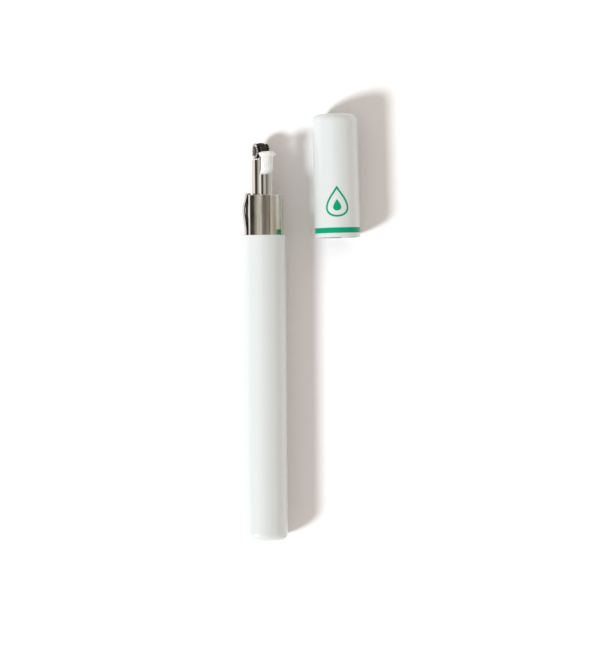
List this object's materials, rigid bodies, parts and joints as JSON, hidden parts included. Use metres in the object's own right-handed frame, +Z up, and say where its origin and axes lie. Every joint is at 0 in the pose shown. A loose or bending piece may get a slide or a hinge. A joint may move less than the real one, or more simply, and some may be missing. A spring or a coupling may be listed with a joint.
{
  "type": "pen-shaped wick lighter",
  "caption": "Slim pen-shaped petrol lighter with white lacquered barrel, bright collar, wick tube and flint wheel, and its white cap with a green band lying beside it.",
  "frame": {"origin": "centre of the closed end face of the barrel, on the barrel's axis", "axes": "+Y along the barrel from its closed end to the wick, +X sideways towards the cap that lies beside it, +Z up from the table that both lie on"},
  "size_m": [0.0276, 0.0979, 0.0104],
  "materials": {
    "white_lacquer": "gloss",
    "green_print": "printed band and emblem",
    "nickel": "bright nickel plate",
    "spring_steel": "polished",
    "hardened_steel": "blackened, cut teeth",
    "wheel_steel": "cut teeth, worn bright",
    "wick_fibre": "loose braided fibre",
    "cotton": "loose wadding",
    "felt": "pressed felt",
    "brass": "turned",
    "flint_alloy": "dull"
  },
  "bodies": {
    "barrel": {"barrel_shell": "white_lacquer"},
    "insert": {"tank_tube": "nickel", "head_block": "nickel", "wick_tube": "nickel", "flint_tube": "brass", "wheel_holder": "nickel", "fuel_wadding": "cotton", "felt_pad": "felt", "flint_spring": "spring_steel"},
    "spring_clip": {"leaf_spring": "spring_steel"},
    "wheel": {"spark_wheel": "hardened_steel", "thumb_wheel_left": "wheel_steel", "thumb_wheel_right": "wheel_steel", "wheel_axle": "wheel_steel"},
    "flint_feed": {"flint": "flint_alloy", "flint_plunger": "brass"},
    "screw": {"flint_screw": "brass"},
    "wick": {"wick": "wick_fibre"},
    "cap": {"cap_shell": "white_lacquer"}
  },
  "joints": [
    {"name": "insert_slide", "type": "slide", "parent": "barrel", "child": "insert", "axis": [0, 1, 0], "range_m": [0, 0.07]},
    {"name": "wheel_spin", "type": "hinge", "parent": "insert", "child": "wheel", "pos_m": [-0.00038, 0.08945, -0.00142], "axis": [-0.8988, 0, 0.4384], "continuous": true},
    {"name": "flint_press", "type": "slide", "parent": "insert", "child": "flint_feed", "axis": [0, -1, 0], "range_m": [0, 0.003], "stiffness_N_per_m": 20, "springref_m": -0.01, "deforming": ["flint_spring"]},
    {"name": "flint_screw_turn", "type": "hinge", "parent": "insert", "child": "screw", "pos_m": [-0.00038, 0.0022, -0.00142], "axis": [0, -1, 0], "continuous": true},
    {"name": "leaf_press", "type": "hinge", "parent": "insert", "child": "spring_clip", "pos_m": [-0.00297, 0.0795, 0.00042], "axis": [0.1392, 0, 0.9903], "range_deg": [0, 1], "stiffness_Nm_per_rad": 0.0001},
    {"name": "wick_pull", "type": "slide", "parent": "insert", "child": "wick", "axis": [0, 1, 0], "range_m": [0, 0.008]},
    {"name": "cap_pull", "type": "slide", "parent": "barrel", "child": "cap", "axis": [-0.0192, 0.9998, 0], "range_m": [0, 0.03]}
  ]
}
